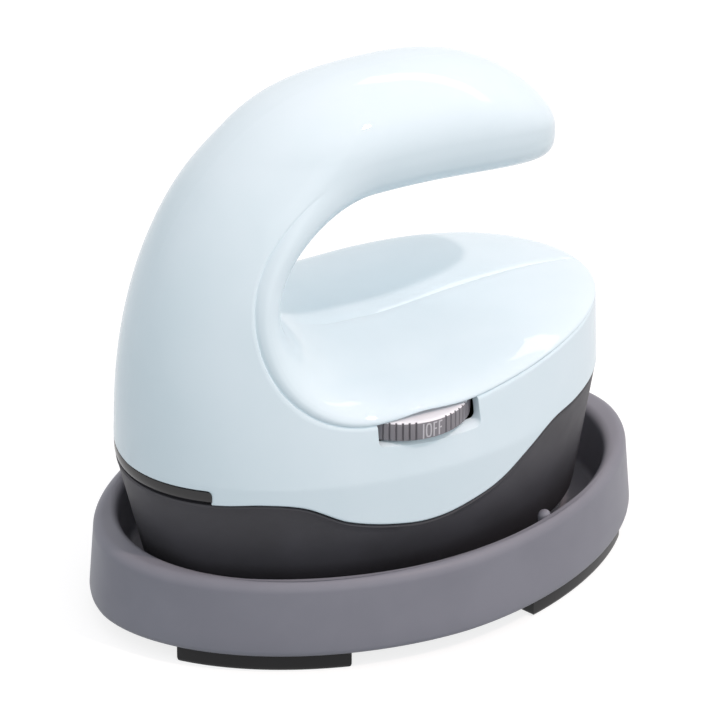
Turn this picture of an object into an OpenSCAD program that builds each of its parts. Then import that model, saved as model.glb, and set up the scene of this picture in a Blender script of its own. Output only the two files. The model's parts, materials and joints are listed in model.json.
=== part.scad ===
// Mini handheld heat press resting in its stand.
// Frame: +Z up, +X towards the free tip of the handle, origin on the table
// under the middle of the stand. The right side of the press faces -Y.
// Lengths are millimetres.

/* [Shell] */
// Distance from the middle to the rear heel
heel_x = 61.8; // [61.2:0.2:62.4]
// Distance from the middle to the nose
nose_x = 58.7; // [58.3:0.2:59.3]
// Half width of the body
body_half_w = 40.8; // [40.6:0.1:41.2]
// Height of the top of the handle above the table
top_z = 127.5; // [126:0.5:130]
// Half width of the handle
handle_half_w = 19; // [18:0.2:19.6]
// Free tip of the handle
tip_x = 47.7; // [46.5:0.2:49]
// Wall of the moulded halves
wall = 2.4; // [2:0.1:2.4]

/* [Finger gap] */
// Middle of the rear arc along the press
arc_x = -5; // [-5.6:0.2:-4.4]
// Middle of the rear arc above the table
arc_z = 82.3; // [82:0.1:83]
// Depth of the rear arc
arc_depth = 24.7; // [24:0.1:25]
// Height of the gap above the arc's middle
arc_up = 18.2; // [18:0.1:18.8]
// Height of the gap below the arc's middle
arc_down = 17.5; // [17.2:0.1:17.6]
// Height of the rolled edge along the saddle
saddle_roll = 5.3; // [5:0.1:5.4]
// Height of the rolled edge along the handle
handle_roll = 13; // [12:0.2:13.4]
// Height of the rolled edge behind the gap
arc_roll = 11.3; // [10.6:0.1:12]

/* [Dial] */
// Radius over the dial's ridges
dial_r = 16; // [15.6:0.1:16.2]
// Height of the dial
dial_h = 4.7; // [4.2:0.1:4.8]
// Number of ridge pitches round the dial
dial_ridges = 50; // [44:1:56]

/* [Soleplate] */
// Thickness of the soleplate
plate_t = 5; // [4.6:0.1:5]
// Radius of the tubular heating element
element_r = 3.2; // [2.8:0.1:3.3]
// Half the distance between the element's two runs
element_half = 15; // [14:0.5:15.5]

/* [Stand] */
// Length of the stand
stand_len = 138.8; // [138:0.2:142]
// Width of the stand
stand_wid = 95.8; // [95:0.2:98]
// Length of the hollow inside the rim
hollow_len = 121.8; // [120:0.2:123]
// Width of the hollow
hollow_wid = 84.6; // [82:0.2:85]
// Top of the stand's rim above the table
rim_z = 23; // [22:0.2:24]
// Height of the rubber feet
foot_h = 4; // [3.5:0.1:4.2]

/* [Hidden] */
$fn = 48;
shell_blue = [0.84, 0.91, 0.93];
skirt_grey = [0.24, 0.24, 0.26];
stand_grey = [0.49, 0.48, 0.52];
rubber_black = [0.06, 0.06, 0.07];
steel = [0.72, 0.73, 0.75];
aluminium = [0.78, 0.79, 0.80];

// Levels above the table
tray_floor = foot_h + 2.4;
plate_z = tray_floor + 1.6;
plate_top = plate_z + plate_t;
shoulder_z = 46.9;
rise = top_z - shoulder_z;
deck_low = 25;
deck_top = 27.4;
board_z = 45;
board_t = 1.6;
board_top = board_z + board_t;

// Dial and its window
dial_x = -4.9;
dial_y = -25.1;
dial_z = 53.8;
shaft_r = 3;
shaft_fit = 0.05;
window_low = [-17.8, dial_z - 0.4];
window_high = [7.7, 59.2];
window_r = dial_r + 0.6;
switch_w = 14;
switch_h = 5;
bushing_h = 1.6;

// Skirt, measured inwards from the plan of the shell; it leans in by
// [nose, heel, side] from its wavy top to its bottom edge
skirt_gap = 0.3;
skirt_lean = [4.3, 5.8, 6.8];
skirt_wall = 2;
skirt_bottom = plate_top + 0.4;
plate_inset = 7.4;
pad_inset = 9;
pad_z = 18.8;
pad_t = 2;
shield_t = 0.6;
lip_inset = wall + 0.9;
lip_h = 2.4;
element_z = plate_top + 1;

// Fastening places on the plan
plate_screw_at = [[-44, 0], [44, 0], [0, 26], [0, -26]];
shell_screw_at = [[-50, 6], [30, 20], [-50, -6], [30, -20]];
board_screw_at = [[-20, 18], [20, 18], [-20, -18], [20, -18]];
strap_at = [[-18, 1], [10, 1], [-18, -1], [10, -1]];
strap_tab = 8;
element_end_x = -32;
element_run = 50;
lead_x = -43.5;
pin_end_x = -40;
block_x = -24.5;
boss_r = 3.4;
boss_top_front = 63.6;
boss_top_rear = 56;
web_low = 46;
foot_angles = [33, 115.5, 206.5, 289];
foot_span = 38;
nub_angle = 64;
nub_inset = 0.4;
stand_power = 1.84;
pad_at = [[-34, 17], [34, 17], [-34, -17], [34, -17]];

// Cord gland on the left of the heel, square to the shell there
gland_x = -42;
gland_y = body_half_w * sqrt(1 - pow(gland_x / heel_x, 2));
gland_z = 50;
gland_turn = atan2(gland_y / pow(body_half_w, 2), gland_x / pow(heel_x, 2));
cord_hole_r = 3.3;
gland_r = 4.55;
gland_flange_r = 6;
gland_seat = 0.9;
gland_flange = 1.6;
gland_depth = 5.4;
gland_barb = 1.4;
clamp_depth = 10;
clamp_half = 7.2;
clamp_screw_y = 5.2;
clamp_low = gland_z - 0.6;
clamp_high = gland_z + 4.4;

// Segments round an oval
oval_n = 72;

// Stations of the shell surface: handle, spine, heel edge, saddle
handle_n = 14;
spine_n = 16;
heel_n = 8;
edge_n = 8;
saddle_n = 14;
roll_n = 6;
flank_n = 9;
crown_power = 2.3;
crown_x = 3;
crown_reach = 68.7;
under_drop = 7;
under_power = 2.3;
roll_swell = 2.6;
handle_fullness = 0.77;
saddle_fullness = 1;
trim_end_x = -52;
trim_h = 3.5;

// Fraction left of a superellipse of power p at t of its half length
function sup(t, p) = pow(max(0, 1 - pow(min(1, abs(t)), p)), 1 / p);
function clamp01(t) = max(0, min(1, t));
function ease(t) = let(s = clamp01(t)) s * s * (3 - 2 * s);

// Smooth curve through a short table of [position, value] rows
function table_slope(tab, i) =
    let(a = max(i - 1, 0), b = min(i + 1, len(tab) - 1))
    (tab[b][1] - tab[a][1]) / (tab[b][0] - tab[a][0]);
function curve(t, tab, i = 0) =
    i < len(tab) - 2 && t > tab[i + 1][0] ? curve(t, tab, i + 1) :
    let(h = tab[i + 1][0] - tab[i][0], s = clamp01((t - tab[i][0]) / h))
    (2 * s * s * s - 3 * s * s + 1) * tab[i][1]
    + (s * s * s - 2 * s * s + s) * h * table_slope(tab, i)
    + (3 * s * s - 2 * s * s * s) * tab[i + 1][1]
    + (s * s * s - s * s) * h * table_slope(tab, i + 1);

// Half width of the outer envelope against height
envelope = [[45, body_half_w], [60, body_half_w - 2.4], [75, body_half_w - 5.2],
            [90, 32.4], [105, 27], [115, 19.3]];
// Lower edge of the shell against length, with its wave
wave = [[-62, 39.4], [-51, 40.2], [-43, 41], [-34.6, 40], [-25, 35.4], [-11, 32.6],
        [-3.3, 32.5], [4.6, 34], [13.1, 36.6], [22.2, 41.5], [30, 45.2], [38.2, 45.9],
        [62, 47]];
// Crown line of the saddle against length
saddle = [[-5, arc_z - arc_down], [5, 64.4], [18, 65.5], [34, 67], [48, 67.9], [61, 68.2]];

function plan_half(x, z, t) =
    let(share = z > shoulder_z ? sup((z - shoulder_z) / (rise - t), crown_power) : 1,
        a = x > 0 ? nose_x - t : (heel_x - t + crown_x) * share - crown_x)
    (curve(z, envelope) - t) * sqrt(max(0, 1 - pow(x / max(a, 0.001), 2)));
function handle_crown(x) =
    shoulder_z + rise * sup((x - crown_x) / (x > crown_x ? crown_reach : heel_x + crown_x), crown_power);
function handle_under(x) = arc_z + arc_up - under_drop * pow((x - arc_x) / (tip_x - arc_x), under_power);

// A station is [inner x, inner z, outer x, outer z, roll length, body share, handle half width]
function handle_station(k, t) =
    let(x = arc_x + (tip_x - t - arc_x) * cos(90 * k),
        e = x > 0 ? sup(x / (tip_x - t), 4.5) : 1,
        low = handle_under(x) + t, high = handle_crown(x) - t,
        mid = low + 0.42 * (high - low))
    [x, mid - (mid - low) * e, x, mid + (high - mid) * e, handle_roll * e,
     0, (handle_half_w - t) * (x > 12 ? sup((x - 12) / (tip_x - t - 12), 2.6) : 1)];

// A station whose line leaves the arc's middle for an outer point
function arc_station(ox, oz, t) =
    let(dx = ox - arc_x, dz = oz - arc_z,
        a = arc_depth + t, b = (dz > 0 ? arc_up : arc_down) + t,
        k = 1 / sqrt(pow(dx / a, 2) + pow(dz / b, 2)),
        nx = dx / (a * a), nz = dz / (b * b),
        cosine = (dx * nx + dz * nz) / (norm([dx, dz]) * norm([nx, nz])),
        polar = (atan2(dz, dx) + 360) % 360,
        low = ease((polar - 180) / 90),
        bump = roll_swell * pow(sin(180 * clamp01((polar - 180) / 88)), 2),
        roll = handle_roll * (1 - ease((polar - 90) / 60)) + arc_roll * ease((polar - 90) / 60) * (1 - low)
             + saddle_roll * low + bump)
    [arc_x + dx * k, arc_z + dz * k, ox, oz, roll / cosine,
     ease((polar - 90) / 85), handle_half_w - t];
function spine_station(k, t) =
    let(reach = heel_x + crown_x, start = acos(pow((crown_x - arc_x) / reach, crown_power / 2)),
        b = start * (1 - k))
    arc_station(crown_x - (reach - t) * pow(cos(b), 2 / crown_power),
                shoulder_z + (rise - t) * pow(sin(b), 2 / crown_power), t);
function edge_station(x, z, t) = arc_station(x * (heel_x - t) / heel_x, z, t);
function saddle_station(k, t) =
    let(x = arc_x + (nose_x - t - arc_x) * sin(90 * k),
        r = saddle_roll * sqrt(max(0, 1 - pow(max(x, 0) / (nose_x - t), 2))))
    [x, curve(x, saddle) - t - saddle_roll + r, x, curve(x, wave), r, 1, 0];

function stations(t) = concat(
    [for (i = [0:handle_n - 1]) handle_station(i / handle_n, t)],
    [for (i = [0:spine_n - 1]) spine_station(i / spine_n, t)],
    [for (i = [0:heel_n]) let(x = -heel_x + (trim_end_x + heel_x) * (1 - cos(90 * i / heel_n)))
        edge_station(x, curve(x, wave) + trim_h, t)],
    [for (i = [0:edge_n - 1]) let(x = trim_end_x + (arc_x - trim_end_x) * i / edge_n)
        edge_station(x, curve(x, wave), t)],
    [for (i = [0:saddle_n]) saddle_station(i / saddle_n, t)]);

// Point j of station s on the surface inset by t; side is -1 right, 1 left
function shell_point(s, j, t, side) =
    let(inner = [s[0], s[1]], span = [s[2] - s[0], s[3] - s[1]], len = norm(span),
        dir = span / max(len, 0.001), roll = min(s[4], 0.62 * len),
        full = handle_fullness + (saddle_fullness - handle_fullness) * s[5],
        on_roll = j <= roll_n,
        a = on_roll ? 90 * j / roll_n : 90 * (j - roll_n) / flank_n,
        d = on_roll ? roll * (1 - pow(cos(a), full)) : roll + (len - roll) * sin(a),
        p = inner + dir * d,
        swell = on_roll ? pow(sin(a), full) : 1,
        dome = on_roll ? 1 : cos(a),
        h = swell * ((1 - s[5]) * s[6] * dome + s[5] * plan_half(p[0], p[1], t)))
    [p[0], side * h, p[1]];

module shell_blank(side) {
    outer = stations(0);
    inner = stations(wall);
    n = len(outer) - 1;
    m = roll_n + flank_n;
    per = m + 1;
    count = 1 + n * per;
    points = concat(
        [shell_point(outer[0], 0, 0, 0)],
        [for (i = [1:n], j = [0:m]) shell_point(outer[i], j, 0, side)],
        [shell_point(inner[0], 0, wall, 0)],
        [for (i = [1:n], j = [0:m]) shell_point(inner[i], j, wall, side)]);
    grid = [for (i = [0:n - 1], j = [0:m - 1]) each cell(i, j, per)];
    edges = concat(
        [for (i = [0:n - 1]) [id(i, 0, per), id(i + 1, 0, per)]],
        [for (j = [0:m - 1]) [id(n, j, per), id(n, j + 1, per)]],
        [for (i = [n - 1:-1:0]) [id(i + 1, m, per), id(i, m, per)]]);
    faces = concat(
        grid,
        [for (f = grid) [f[2] + count, f[1] + count, f[0] + count]],
        [for (e = edges) [e[1], e[0], e[0] + count]],
        [for (e = edges) [e[1], e[0] + count, e[1] + count]]);
    solid = [for (f = faces) if (f[0] != f[1] && f[1] != f[2] && f[2] != f[0]) f];
    polyhedron(points, side > 0 ? [for (f = solid) [f[2], f[1], f[0]]] : solid, convexity = 8);
}
function id(i, j, per) = i == 0 ? 0 : 1 + (i - 1) * per + j;
function cell(i, j, per) =
    i == 0 ? [[id(0, 0, per), id(1, j, per), id(1, j + 1, per)]]
    : [[id(i, j, per), id(i + 1, j, per), id(i + 1, j + 1, per)],
       [id(i, j, per), id(i + 1, j + 1, per), id(i, j + 1, per)]];

// Closed body lofted through rings round an oval;
// ring = [inset, z, share of the wave, share of the skirt's lean]
function bend(c, power) = sign(c) * pow(abs(c), 2 / power);
function oval_ring(front, rear, half, ring, power = 2) =
    [for (i = [0:oval_n - 1]) let(t = 360 * i / oval_n, lean = len(ring) > 3 ? ring[3] : 0,
            end = cos(t) < 0 ? rear - lean * skirt_lean[1] : front - lean * skirt_lean[0],
            side = half - lean * skirt_lean[2],
            x = (end - ring[0]) * bend(cos(t), power))
        [x, (side - ring[0]) * bend(sin(t), power), ring[1] + ring[2] * curve(x, wave)]];
module loft(rings, closed = false) {
    m = len(rings);
    last = closed ? m - 1 : m - 2;
    points = [for (r = rings) each r];
    sides = [for (k = [0:last], i = [0:oval_n - 1])
        let(a = k * oval_n, b = ((k + 1) % m) * oval_n, n = (i + 1) % oval_n)
        each [[a + i, b + i, b + n], [a + i, b + n, a + n]]];
    caps = closed ? [] : [
        [for (i = [0:oval_n - 1]) i],
        [for (i = [oval_n - 1:-1:0]) (m - 1) * oval_n + i]];
    polyhedron(points, concat(sides, caps), convexity = 8);
}
module press_loft(rings, closed = false) {
    loft([for (r = rings) oval_ring(nose_x, heel_x, body_half_w, r)], closed);
}

// Cross-head screw: its head stands on z = 0 and its shank runs down
module screw(head_r, head_h, shank_r, length) {
    difference() {
        cylinder(r = head_r, h = head_h);
        translate([0, 0, head_h / 2]) cube([head_r * 1.3, 0.7, head_h], center = true);
        translate([0, 0, head_h / 2]) cube([0.7, head_r * 1.3, head_h], center = true);
    }
    translate([0, 0, -length]) cylinder(r = shank_r, h = length);
}
module at_each(places) {
    for (p = places) translate([p[0], p[1], 0]) children();
}
// Tube along a smooth curve through a list of points
tube_sides = 8;
tube_steps = 3;
function unit(v) = v / norm(v);
function path_point(path, i, u) =
    let(m = len(path) - 1, p0 = path[max(i - 1, 0)], p1 = path[i],
        p2 = path[min(i + 1, m)], p3 = path[min(i + 2, m)])
    (2 * p1 + (p2 - p0) * u + (2 * p0 - 5 * p1 + 4 * p2 - p3) * u * u
     + (3 * p1 - p0 - 3 * p2 + p3) * u * u * u) / 2;
function smooth_path(path) = concat(
    [for (i = [0:len(path) - 2], k = [0:tube_steps - 1]) path_point(path, i, k / tube_steps)],
    [path[len(path) - 1]]);
module tube(path, r) {
    line = smooth_path(path);
    last = len(line) - 1;
    points = [for (i = [0:last]) let(
            along = unit(line[min(i + 1, last)] - line[max(i - 1, 0)]),
            side = unit(cross(along, [0, 1, 0])), up = cross(along, side))
        for (k = [0:tube_sides - 1]) let(a = 360 * k / tube_sides)
            line[i] + r * (cos(a) * side + sin(a) * up)];
    sides = [for (i = [0:last - 1], k = [0:tube_sides - 1])
        let(a = i * tube_sides, n = (k + 1) % tube_sides)
        each [[a + k, a + n, a + tube_sides + n], [a + k, a + tube_sides + n, a + tube_sides + k]]];
    caps = [[for (k = [tube_sides - 1:-1:0]) k],
            [for (k = [0:tube_sides - 1]) last * tube_sides + k]];
    polyhedron(points, [for (f = concat(sides, caps)) [for (k = [len(f) - 1:-1:0]) f[k]]]);
}
module at_gland() {
    translate([gland_x, gland_y, gland_z]) rotate([0, 90, gland_turn]) children();
}

module stand_tray() {
    outer_r = 2.6;
    inner_r = 2.2;
    lean = 1.2;
    floor_r = 2;
    nub_r = 1.5;
    nub_top = rim_z - 0.8;
    outside = concat(
        [[1.8, foot_h, 0], [0.5, foot_h + 0.5, 0], [0, foot_h + 1.6, 0]],
        [for (a = [0:22.5:90]) [lean + outer_r * (1 - cos(a)), rim_z - outer_r * (1 - sin(a)), 0]]);
    hollow = concat(
        [for (a = [90:-22.5:0]) [-inner_r * (1 - cos(a)), rim_z - inner_r * (1 - sin(a)), 0]],
        [for (a = [0:30:90]) [floor_r * (1 - cos(a)), tray_floor + floor_r * (1 - sin(a)), 0]]);
    color(stand_grey) {
        loft(concat(
            [for (r = outside) oval_ring(stand_len / 2, stand_len / 2, stand_wid / 2, r, stand_power)],
            [for (r = hollow) oval_ring(hollow_len / 2, hollow_len / 2, hollow_wid / 2, r)]));
        for (side = [-1, 1])
            translate([(hollow_len / 2 - nub_inset) * cos(nub_angle),
                       side * (hollow_wid / 2 - nub_inset) * sin(nub_angle), tray_floor - 0.5]) {
                cylinder(r = nub_r, h = nub_top - tray_floor + 0.5);
                translate([0, 0, nub_top - tray_floor + 0.5]) sphere(r = nub_r);
            }
    }
}
function foot_edge(inset, from, to, steps) =
    [for (i = [0:steps]) let(t = from + (to - from) * i / steps)
        [(stand_len / 2 - inset) * bend(cos(t), stand_power),
         (stand_wid / 2 - inset) * bend(sin(t), stand_power)]];
module foot(from, low, high, grow) {
    translate([0, 0, low]) linear_extrude(height = high - low)
        polygon(concat(foot_edge(1.8 - grow, from + 0.8 - grow, from + foot_span - 0.8 + grow, 12),
                       foot_edge(10.2 + grow, from + foot_span - 0.8 + grow, from + 0.8 - grow, 12)));
}
module stand_feet() {
    color(rubber_black) for (from = foot_angles) {
        foot(from, 0, 0.8, 0);
        foot(from, 0.8, foot_h, 0.7);
    }
}
module rest_pads() {
    color([0.2, 0.2, 0.21]) at_each(pad_at)
        translate([0, 0, tray_floor]) cylinder(r = 4, h = plate_z - tray_floor);
}

module element_path(r, end_x) {
    for (side = [-1, 1])
        translate([end_x, side * element_half, element_z]) rotate([0, 90, 0])
            cylinder(r = r, h = element_end_x + element_run - end_x);
    translate([element_end_x + element_run, 0, element_z]) rotate([0, 0, -90])
        rotate_extrude(angle = 180) translate([element_half, 0]) circle(r = r);
}
module soleplate() {
    color(aluminium) difference() {
        press_loft([[plate_inset + 1.2, plate_z, 0], [plate_inset + 0.3, plate_z + 0.3, 0],
                    [plate_inset, plate_z + 1.2, 0], [plate_inset, plate_top, 0]]);
        element_path(element_r + 0.05, pin_end_x - 1.5);
        at_each(plate_screw_at) translate([0, 0, plate_top - 3.4]) cylinder(r = 1.95, h = 5);
        for (p = strap_at)
            translate([p[0], p[1] * strap_tab, plate_top - 3.4]) cylinder(r = 1.3, h = 5);
        translate([0, 0, plate_top - 3.4]) cylinder(r = 1.3, h = 5);
    }
}
module heating_element() {
    color(steel) {
        element_path(element_r, element_end_x);
        for (side = [-1, 1])
            translate([element_end_x, side * element_half, element_z]) rotate([0, -90, 0]) {
                cylinder(r = element_r - 0.4, h = 4);
                cylinder(r = 1.1, h = element_end_x - pin_end_x);
            }
    }
}
module element_straps() {
    gap = element_r + 0.1;
    color(steel) for (p = strap_at) translate([p[0], 0, 0]) mirror([0, p[1] < 0 ? 1 : 0, 0])
        difference() {
            union() {
                translate([-4, element_half, element_z]) rotate([0, 90, 0]) cylinder(r = gap + 1, h = 8);
                translate([-4, strap_tab - 3.4, plate_top]) cube([8, element_half - strap_tab, 1]);
            }
            translate([-5, element_half, element_z]) rotate([0, 90, 0]) cylinder(r = gap, h = 10);
            translate([-5, element_half - 8, plate_top - 5]) cube([10, 20, 5]);
            translate([0, strap_tab, plate_top - 1]) cylinder(r = 1.4, h = 3);
        }
}
module strap_screws() {
    color(steel) {
        for (p = strap_at) translate([p[0], p[1] * strap_tab, plate_top + 1]) screw(2.4, 1.5, 1.2, 4);
        translate([0, 0, plate_top + 1]) screw(2.4, 1.5, 1.2, 4);
    }
}
module thermistor() {
    color([0.75, 0.72, 0.62]) difference() {
        union() {
            translate([0, 0, plate_top]) cylinder(r = 3.6, h = 1);
            translate([0, -2.4, plate_top]) cube([9, 4.8, 1]);
            translate([4.6, 0, plate_top + 2.4]) rotate([0, 90, 0]) cylinder(r = 1.7, h = 5);
            translate([5.6, -0.8, plate_top + 0.5]) cube([3, 1.6, 1]);
        }
        translate([0, 0, plate_top - 1]) cylinder(r = 1.4, h = 3);
    }
}
module thermal_fuse() {
    color([0.82, 0.72, 0.45]) translate([-26, 0, plate_top + 2.2]) rotate([90, 0, 0]) {
        cylinder(r = 2.2, h = 11, center = true);
        cylinder(r = 0.5, h = 18, center = true);
    }
}
module heat_sheet(low, thick, hole_r) {
    difference() {
        intersection() {
            press_loft([[pad_inset, low, 0], [pad_inset, low + thick, 0]]);
            translate([-38, -50, low - 1]) cube([78, 100, thick + 2]);
        }
        at_each(plate_screw_at) translate([0, 0, low - 1]) cylinder(r = hole_r, h = thick + 2);
    }
}
module insulation_pad() {
    color([0.9, 0.88, 0.8]) heat_sheet(pad_z, pad_t, 3.1);
}
module heat_shield() {
    color(steel) heat_sheet(pad_z + pad_t, shield_t, 3.1);
}
module plate_spacers() {
    color(steel) at_each(plate_screw_at) difference() {
        union() {
            translate([0, 0, plate_top]) cylinder(r = 4, h = pad_z - plate_top);
            translate([0, 0, plate_top]) cylinder(r = 3, h = deck_low - plate_top);
        }
        translate([0, 0, plate_top - 1]) cylinder(r = 2.1, h = 20);
    }
}
module plate_screws() {
    color(steel) at_each(plate_screw_at) translate([0, 0, deck_top])
        screw(3.4, 2.4, 1.9, deck_top - plate_top + 3);
}
module heat_skirt() {
    color(skirt_grey) difference() {
        union() {
            press_loft([
                [skirt_gap + skirt_wall, deck_low, 0, 0.6],
                [skirt_gap + skirt_wall, skirt_bottom, 0, 1],
                [skirt_gap + 0.3, skirt_bottom, 0, 1],
                [skirt_gap, skirt_bottom + 0.6, 0, 0.98],
                [skirt_gap, skirt_bottom / 2 - 0.2, 0.5, 0.5],
                [skirt_gap, -0.4, 1, 0],
                [lip_inset, -0.4, 1],
                [lip_inset, lip_h, 1],
                [lip_inset + 1.6, lip_h, 1],
                [lip_inset + 2, deck_top + 0.4, 0],
                [lip_inset + 2.6, deck_top, 0]]);
            at_each(board_screw_at) translate([0, 0, deck_top - 1])
                cylinder(r = 3, h = board_z - deck_top + 1);
            clamp_block(deck_top - 1, clamp_low);
        }
        at_each(plate_screw_at) translate([0, 0, deck_low - 2]) cylinder(r = 2.1, h = 6);
        at_each(shell_screw_at) translate([0, 0, deck_low - 2]) cylinder(r = 1.7, h = 6);
        at_each(board_screw_at) translate([0, 0, board_z - 8]) cylinder(r = 1.2, h = 9);
        for (side = [-1, 1]) translate([lead_x, side * element_half, deck_low - 2]) cylinder(r = 2, h = 6);
        clamp_holes(1.05, clamp_low - 9, clamp_low + 1);
        clamp_groove();
    }
}
// Frame of the cord clamp, in line with the gland
module at_clamp(z) {
    translate([gland_x - clamp_depth * cos(gland_turn), gland_y - clamp_depth * sin(gland_turn), z])
        rotate([0, 0, gland_turn]) children();
}
module clamp_block(low, high) {
    at_clamp(low) translate([-3.5, -clamp_half, 0]) cube([7, 2 * clamp_half, high - low]);
}
module clamp_holes(r, low, high) {
    at_clamp(low) for (side = [-1, 1]) translate([0, side * clamp_screw_y, 0])
        cylinder(r = r, h = high - low);
}
module clamp_groove() {
    at_clamp(gland_z) rotate([0, 90, 0]) cylinder(r = cord_hole_r - 0.3, h = 12, center = true);
}
module cord_clamp() {
    color(skirt_grey) difference() {
        clamp_block(gland_z + 0.2, clamp_high);
        clamp_groove();
        clamp_holes(1.4, gland_z - 1, clamp_high + 1);
    }
}
module clamp_screws() {
    color(steel) at_clamp(clamp_high)
        for (side = [-1, 1]) translate([0, side * clamp_screw_y, 0]) screw(2, 1.5, 1.05, 11);
}

module circuit_board() {
    color([0.1, 0.35, 0.2]) difference() {
        translate([0, 0, board_z]) linear_extrude(height = board_t)
            polygon([[-25, -24], [-14, -32.6], [8, -32.6], [25, -24], [25, 24], [-25, 24]]);
        at_each(board_screw_at) translate([0, 0, board_z - 1]) cylinder(r = 1.5, h = 4);
    }
}
module board_screws() {
    color(steel) at_each(board_screw_at) translate([0, 0, board_top]) screw(2.4, 1.6, 1.15, 7);
}
module relay() {
    color([0.15, 0.3, 0.6]) translate([4, -3, board_top]) cube([15, 12, 11]);
}
module capacitor() {
    color([0.75, 0.6, 0.15]) translate([-14, 6, board_top]) cube([13, 6, 10]);
}
module terminal_block() {
    color([0.2, 0.5, 0.3]) difference() {
        translate([block_x, -8, board_top]) cube([8, 16, 9]);
        for (side = [-1, 1]) translate([block_x + 1, side * 4, board_top + 5]) cylinder(r = 1.5, h = 6);
    }
}
module rotary_switch() {
    color([0.15, 0.15, 0.16]) translate([dial_x, dial_y, 0]) difference() {
        union() {
            translate([-switch_w / 2, -switch_w / 2, board_top]) cube([switch_w, switch_w, switch_h]);
            translate([0, 0, board_top + switch_h]) cylinder(r = 4.6, h = bushing_h);
        }
        translate([0, 0, board_top + 1.5]) cylinder(r = shaft_r + shaft_fit, h = 8);
    }
}
module dial_shaft() {
    color(steel) translate([dial_x, dial_y, board_top + 1.8])
        cylinder(r = shaft_r, h = dial_z + dial_h - board_top - 2.4);
}
module dial_wheel() {
    root = dial_r - 0.7;
    plaque = 22;
    free = 360 - plaque;
    color([0.66, 0.66, 0.68]) translate([dial_x, dial_y, dial_z]) difference() {
        union() {
            cylinder(r = root, h = dial_h, $fn = 96);
            for (i = [0:dial_ridges - 1]) rotate([0, 0, -90 + plaque / 2 + free * (i + 0.5) / dial_ridges])
                translate([root - 1, -0.5, 0.3]) cube([dial_r - root + 1, 1, dial_h - 0.6]);
            intersection() {
                cylinder(r = dial_r, h = dial_h - 0.3, $fn = 96);
                rotate([0, 0, -90]) translate([root - 2, -3, 0.3]) cube([6, 6, dial_h - 0.6]);
            }
        }
        translate([0, 0, -1]) cylinder(r = shaft_r, h = dial_h + 2);
        translate([0, 0, -1]) difference() {
            cylinder(r = root - 3, h = 2.2);
            cylinder(r = shaft_r + 2, h = 2.2);
        }
    }
}
module heater_leads() {
    color([0.85, 0.82, 0.75]) for (side = [-1, 1]) tube([
        [pin_end_x, side * element_half, element_z], [pin_end_x - 2.4, side * element_half, element_z + 1],
        [lead_x, side * element_half, 19], [lead_x, side * element_half, 31],
        [-42, side * 12, 37], [-35, side * 7, 44],
        [-28, side * 4.2, board_top + 2.8], [block_x, side * 4, board_top + 3]], 1);
}

// Bosses for the shell screws; the rear one is tied to the heel by a web
module shell_bosses(side) {
    for (p = shell_screw_at) if (p[1] * side > 0) difference() {
        union() {
            translate([p[0], p[1], deck_top])
                cylinder(r = boss_r, h = (p[0] > 0 ? boss_top_front : boss_top_rear) - deck_top);
            if (p[0] < 0) translate([wall / 2 - heel_x, p[1] - 1, web_low])
                cube([heel_x + p[0], 2, boss_top_rear - web_low]);
        }
        translate([p[0], p[1], deck_top - 1]) cylinder(r = 1.3, h = 14);
    }
}
module dial_window() {
    translate([window_low[0], -60, window_low[1]])
        cube([window_high[0] - window_low[0], 60 + dial_y, window_high[1] - window_low[1]]);
    translate([dial_x, dial_y, window_low[1]]) cylinder(r = window_r, h = window_high[1] - window_low[1]);
}
module shell_right() {
    color(shell_blue) difference() {
        union() {
            shell_blank(-1);
            shell_bosses(-1);
        }
        dial_window();
    }
}
module shell_left() {
    color(shell_blue) difference() {
        union() {
            shell_blank(1);
            shell_bosses(1);
        }
        at_gland() {
            translate([0, 0, -12]) cylinder(r = gland_r + 0.1, h = 20);
            translate([0, 0, -gland_seat]) cylinder(r = gland_flange_r + 0.2, h = 8);
        }
    }
}
module shell_screws() {
    color(steel) at_each(shell_screw_at) translate([0, 0, deck_low]) mirror([0, 0, 1])
        screw(3, 2, 1.25, deck_top - deck_low + 9);
}
module rear_trim() {
    color(rubber_black) intersection() {
        press_loft([[0.2, 1.1, 1], [0, 2.1, 1], [0, trim_h - 0.15, 1], [2.2, trim_h - 0.15, 1],
                    [2.2, 0.1, 1], [0.9, 0.1, 1]], true);
        translate([-80, -50, 20]) cube([80 + trim_end_x - 0.15, 100, 40]);
    }
}
module cord_gland() {
    color(rubber_black) at_gland() difference() {
        union() {
            translate([0, 0, -gland_seat]) cylinder(r = gland_flange_r, h = gland_flange);
            translate([0, 0, -gland_depth]) cylinder(r = gland_r, h = gland_depth);
            translate([0, 0, -gland_depth]) cylinder(r = gland_r + 1, h = gland_barb);
        }
        translate([0, 0, -gland_depth - 1]) cylinder(r = cord_hole_r, h = gland_depth + 4);
    }
}

stand_tray();
stand_feet();
rest_pads();
soleplate();
heating_element();
element_straps();
strap_screws();
thermistor();
thermal_fuse();
insulation_pad();
heat_shield();
heat_skirt();
plate_spacers();
plate_screws();
circuit_board();
board_screws();
relay();
capacitor();
terminal_block();
rotary_switch();
dial_shaft();
dial_wheel();
heater_leads();
shell_right();
shell_left();
shell_screws();
rear_trim();
cord_gland();
cord_clamp();
clamp_screws();
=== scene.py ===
"""Looks of a mini handheld heat press resting in its stand.

Lengths are in millimetres until a mesh is made.
"""

import json
import math
from collections import namedtuple

import bmesh
import bpy
import numpy as np
from mathutils import Matrix, Vector


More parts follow.
